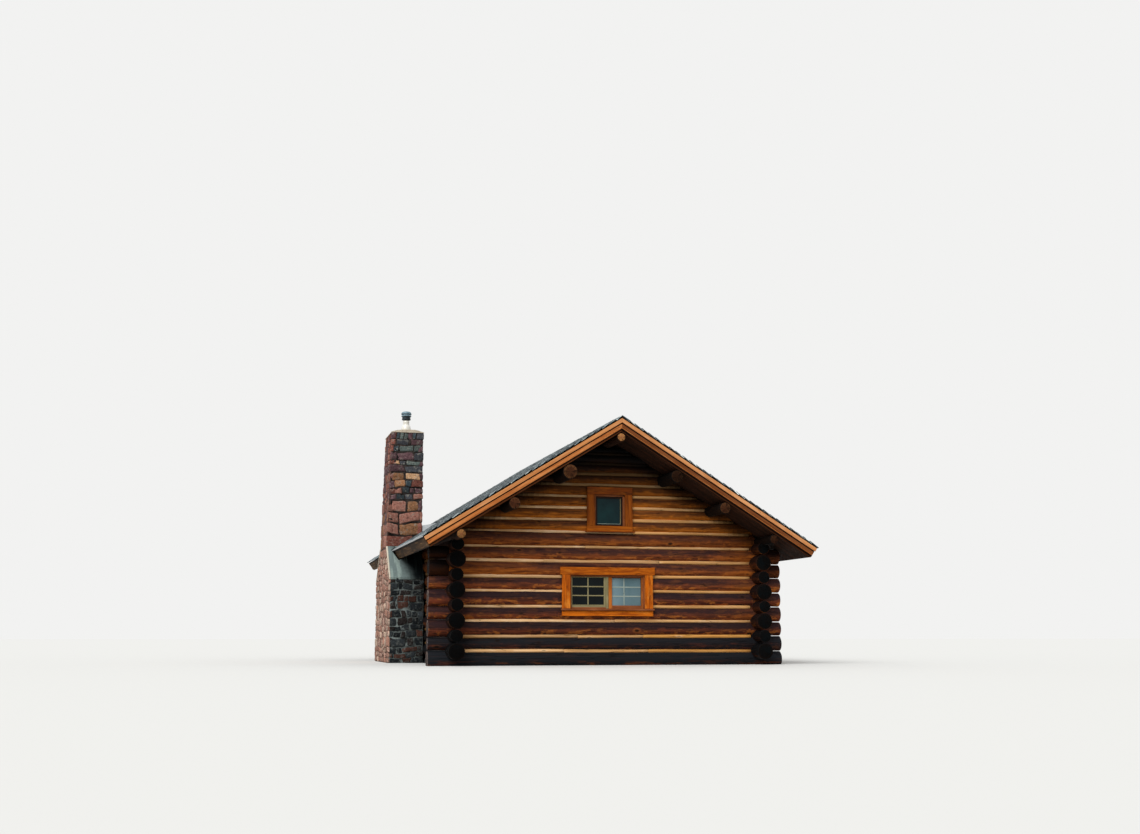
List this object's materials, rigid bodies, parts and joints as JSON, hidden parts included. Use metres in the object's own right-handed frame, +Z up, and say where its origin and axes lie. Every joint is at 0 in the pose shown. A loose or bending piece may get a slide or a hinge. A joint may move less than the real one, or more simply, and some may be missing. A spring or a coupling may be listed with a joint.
{
  "type": "log cabin",
  "caption": "Gable-roofed log cabin with saddle-notched corners, a loft, and an outside stone chimney.",
  "frame": {"origin": "on the ground under the ridge, at the middle of the front wall's bottom log", "axes": "+X to the right seen from the front, +Y along the ridge towards the back, +Z up"},
  "size_m": [7.1545, 8.84, 4.9633],
  "materials": {
    "dark_logs": "stained and weathered logs, dark reddish brown",
    "gable_logs": "stained logs, orange brown",
    "chinking": "split poles between the logs, pale tan",
    "roof_poles": "peeled round timbers, orange brown",
    "roof_deck": "sawn boards, dark brown",
    "shingles": "weathered split shingles, blue grey",
    "rake_wood": "stained boards, light orange tan",
    "fascia_wood": "weathered boards, dark brown",
    "floor_wood": "sawn planks, unfinished",
    "orange_casing": "stained boards, bright orange",
    "brown_casing": "stained boards, orange brown",
    "sash_wood": "painted sash, khaki brown",
    "glass": "clear window glass",
    "door_wood": "stained planks, red brown",
    "iron": "black iron",
    "stone": "fieldstone in mortar, red brown to grey",
    "cement": "smooth cement, grey",
    "flue_metal": "bright sheet metal",
    "sheet_metal": "dull sheet metal, bluish grey"
  },
  "bodies": {
    "root": {"back_chinking": "chinking", "back_gable_logs": "gable_logs", "back_wall_logs": "dark_logs", "barge_boards": "rake_wood", "chimney_base": "stone", "chimney_crown": "cement", "chimney_shoulders": "cement", "chimney_stack": "stone", "door_casing": "orange_casing", "door_frame": "door_wood", "door_hardware": "iron", "door_leaf": "door_wood", "eave_fascias": "fascia_wood", "floor_sleepers": "floor_wood", "flue_collar": "flue_metal", "flue_cowl": "flue_metal", "front_chinking": "chinking", "front_gable_logs": "gable_logs", "front_wall_logs": "dark_logs", "gable_window_casings": "brown_casing", "left_chinking": "chinking", "left_roof_boards": "roof_deck", "left_shingles": "shingles", "left_soffit": "roof_deck", "left_wall_logs": "dark_logs", "loft_floor": "floor_wood", "loft_joists": "floor_wood", "purlins": "roof_poles", "rafters": "roof_deck", "rake_trims": "rake_wood", "ridge_cap": "shingles", "ridge_pole": "roof_poles", "right_chinking": "chinking", "right_roof_boards": "roof_deck", "right_shingles": "shingles", "right_soffit": "roof_deck", "right_wall_logs": "dark_logs", "roof_flashing": "sheet_metal", "room_floor": "floor_wood", "side_sill_logs": "dark_logs", "wall_plates": "roof_poles", "window_casings": "orange_casing", "window_frames": "brown_casing", "window_glass": "glass", "window_sashes": "sash_wood", "window_sills": "brown_casing"}
  },
  "joints": []
}
